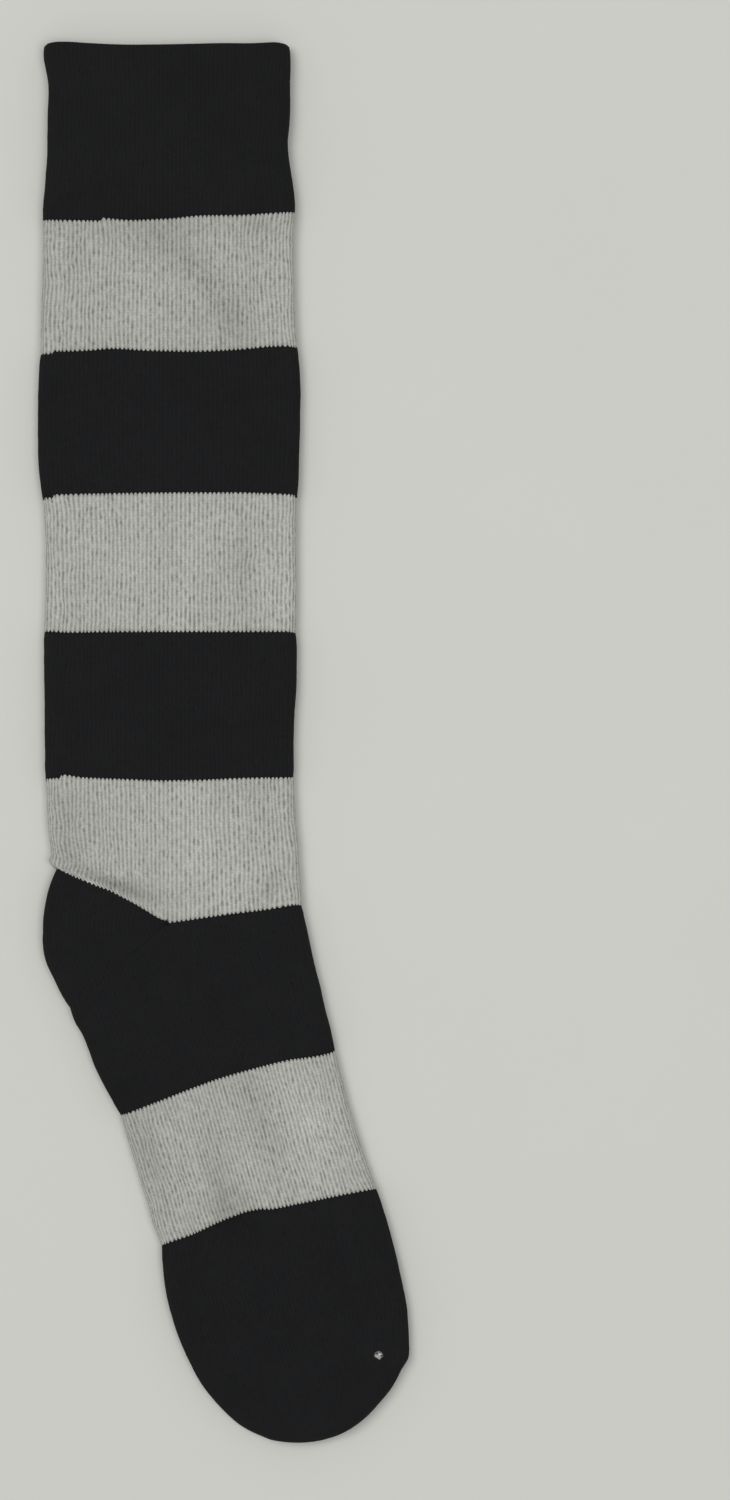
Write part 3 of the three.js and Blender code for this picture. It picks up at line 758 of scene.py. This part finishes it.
def yarnMaterial(name, yarn, withFluff=False):
    shader = Shader(name, {"Roughness": 0.92, "Specular IOR Level": yarn["specular"],
                           "Sheen Weight": yarn["sheen"], "Sheen Roughness": 0.5})
    knitMap = shader.make("ShaderNodeUVMap", {"uv_map": "knit"})
    wale = shader.make("ShaderNodeSeparateXYZ", {}, knitMap)
    course = Wire(shader, wale.socket.node.outputs["Y"])
    place = shader.make("ShaderNodeTexCoord", {}, out="Object")
    # the shade and light painted in by the folds, with the band's tone
    paintedShade = shader.make("ShaderNodeAttribute", {"attribute_name": "paintedShade"}, out="Fac")

    fromRidge = (wale.part() - 0.5).size() * 2          # 0 on a ridge, 1 in a valley
    legs = (course + fromRidge * stitch["legSlope"]).part()
    stitchEdge = ((legs - 0.5).size() * 2).ramp(*stitch["edge"])
    slow = shader.noiseOn(place, stitch["slowScale"], 3.0)
    fibre = shader.noiseOn(place, stitch["fibreScale"])

    # along each ridge and each valley the yarn changes by itself, a stitch or a few at a time
    ridgeCell = wale.whole() * stitch["ridgeSeed"]
    ridgeYarn = shader.noiseOn(shader.cells(ridgeCell, course * stitch["ridgeRun"]), 1.0, 1.0)
    valleyCell = (wale + 0.5).whole() * stitch["valleySeed"] + stitch["valleyOffset"]
    valleyYarn = shader.noiseOn(shader.cells(valleyCell, course * stitch["valleyRun"]), 1.0, 1.0)
    dash = (valleyYarn + (slow - 0.5) * stitch["dashDrift"]).ramp(yarn["dashFrom"],
                                                                 yarn["dashFrom"] + stitch["dashEnd"])
    dash = dash * fromRidge.ramp(*stitch["dash"]) * yarn["dashes"]

    # how far towards the darker valley colour, the painted shade of the rib hollows, varied at random along
    # each valley
    valley = fromRidge.ramp(*stitch["valley"]) * (valleyYarn * stitch["valleyShade"] - stitch["valleyLess"])
    depth = valley + stitchEdge * stitch["edgeShade"] + (ridgeYarn - 0.5) * stitch["ridgeShade"]
    colour = shader.mix(depth.ramp(0, stitch["deepest"]), yarn["ridge"], yarn["valley"])
    colour = shader.mix(dash, colour, yarn["dash"])
    uneven = (slow - 0.5) * yarn["unevenness"] + (ridgeYarn - 0.5) * yarn["ridgeChange"]
    uneven += (fibre - 0.5) * stitch["fibreShade"]
    # the painted shade and light from the folds scale the colour, along with its unevenness
    colour = colour.scaled((1 + uneven) * (1 + paintedShade))
    if withFluff:
        centre = tuple(value * mm for value in fluff["place"])
        far = shader.make("ShaderNodeVectorMath", {"operation": "DISTANCE"}, place, centre, out="Value")
        hair = shader.noiseOn(place, fluff["hairScale"])
        ragged = far + (hair - 0.5) * fluff["raggedness"] * 2 * mm
        spot = 1 - ragged.ramp(*(fluff["size"] * share * mm for share in fluff["rim"]))
        colour = shader.mix(spot * hair.ramp(*fluff["hairs"]), colour, fluff["colour"])
    shader.feed("Base Color", colour)

    height = (1 - fromRidge ** 2) * stitch["ribHeight"] - stitchEdge * stitch["edgeDepth"]
    height += fibre * stitch["fibreHeight"]
    bump = shader.make("ShaderNodeBump", {}, Strength=yarn["bump"], Distance=stitch["bumpDistance"] * mm,
                       Height=height)
    shader.feed("Normal", bump)
    return shader.material


yarns = {
    "dark": yarnMaterial("dark_yarn_knit", darkYarn, withFluff=True),
    "light": yarnMaterial("light_yarn_knit", lightYarn),
}
print("yarns mixed")


# Gives bands their start and the frame they share: the leg's, or the foot's, which is turned at the ankle
def setOut(bands, start, shared):
    for band in bands:
        band.update(shared)
        band["start"] = start
        start -= band["length"]


setOut(legBands, legLength, {
    "width": sock["legWidth"], "thickness": sock["legThickness"],
    "angle": 0, "forward": 0, "direction": 1,
    "instepBend": sock["footAngle"] * sock["instepShare"],
})
setOut(footBands, 0, {
    "width": sock["footWidth"], "thickness": sock["footThickness"],
    "angle": sock["footAngle"], "forward": sock["footForward"], "direction": -1,
    "instepBend": sock["footAngle"] * (1 - sock["instepShare"]),
})
cuff["thickness"] = sock["cuffThickness"]
inOrder = legBands + footBands
for i, band in enumerate(inOrder):
    band["above"] = inOrder[i - 1] if i else None
    band["below"] = inOrder[i + 1] if i + 1 < len(inOrder) else None

knitCuff(cuff)
for band in [calfStripe, calfBand, shinStripe, shinBand, ankleStripe, instepBand, footStripe]:
    knitBand(band)
knitHeel(heelPocket)
knitToe(toeCap)

# The pale surface that the sock lies on
floorPaper = {
    "side": 6.0, "drop": 0.02,                # metres, and millimetres below the sock
    "colour": (0.668, 0.675, 0.632), "mottle": 0.03, "mottleScale": 9.0,
}


def layFloor():
    bm = bmesh.new()
    bmesh.ops.create_grid(bm, x_segments=1, y_segments=1, size=floorPaper["side"] / 2)
    bmesh.ops.translate(bm, verts=bm.verts, vec=(0, 0, -floorPaper["drop"] * mm))
    mesh = bpy.data.meshes.new("floor")
    bm.to_mesh(mesh)
    bm.free()
    floor = bpy.data.objects.new("floor", mesh)
    bpy.context.collection.objects.link(floor)
    paper = Shader("floor_paper", {"Roughness": 0.9, "Specular IOR Level": 0.1})
    place = paper.make("ShaderNodeTexCoord", {}, out="Object")
    mottle = paper.noiseOn(place, floorPaper["mottleScale"], 4.0)
    tint = paper.make("ShaderNodeVectorMath", {"operation": "SCALE"}, floorPaper["colour"],
                      Scale=1 - floorPaper["mottle"] / 2 + mottle * floorPaper["mottle"])
    paper.feed("Base Color", tint)
    mesh.materials.append(paper.material)


layFloor()

# Soft light from the upper left, a weaker one from the right, and an even sky. Places are in metres.
studio = {
    "key": {"place": (-0.95, 0.6, 2.9), "size": 1.5, "power": 34.5},
    "fill": {"place": (0.8, -0.4, 2.9), "size": 1.2, "power": 22.5},
    "sky": (1.0, 1.0, 0.99, 1), "skyStrength": 0.36,
}


def hangLight(name, lightSizes):
    lamp = bpy.data.lights.new(name, "AREA")
    lamp.size = lightSizes["size"]
    lamp.energy = lightSizes["power"]
    holder = bpy.data.objects.new(name, lamp)
    holder.location = lightSizes["place"]
    holder.rotation_euler = (-Vector(lightSizes["place"])).to_track_quat("-Z", "Y").to_euler()
    bpy.context.collection.objects.link(holder)


hangLight("key", studio["key"])
hangLight("fill", studio["fill"])
world = bpy.data.worlds.new("sky")
world.use_nodes = True
world.node_tree.nodes["Background"].inputs["Color"].default_value = studio["sky"]
world.node_tree.nodes["Background"].inputs["Strength"].default_value = studio["skyStrength"]
bpy.context.scene.world = world
bpy.context.scene.view_settings.view_transform = "Standard"

# The camera looks straight down, with the sock at the left of its view. Sizes are in millimetres, and the
# frame's height is measured at the height of plane.
view = {"frameHeight": 547.5, "aside": 51.56, "up": -2.54, "height": 1600, "plane": 4.5, "sensor": 36}


def standCamera():
    lens = bpy.data.cameras.new("camera")
    lens.sensor_width = view["sensor"]
    lens.lens = view["sensor"] * (view["height"] - view["plane"]) / view["frameHeight"]
    camera = bpy.data.objects.new("camera", lens)
    camera.location = Vector((view["aside"], view["up"], view["height"])) * mm
    bpy.context.collection.objects.link(camera)
    bpy.context.scene.camera = camera


standCamera()
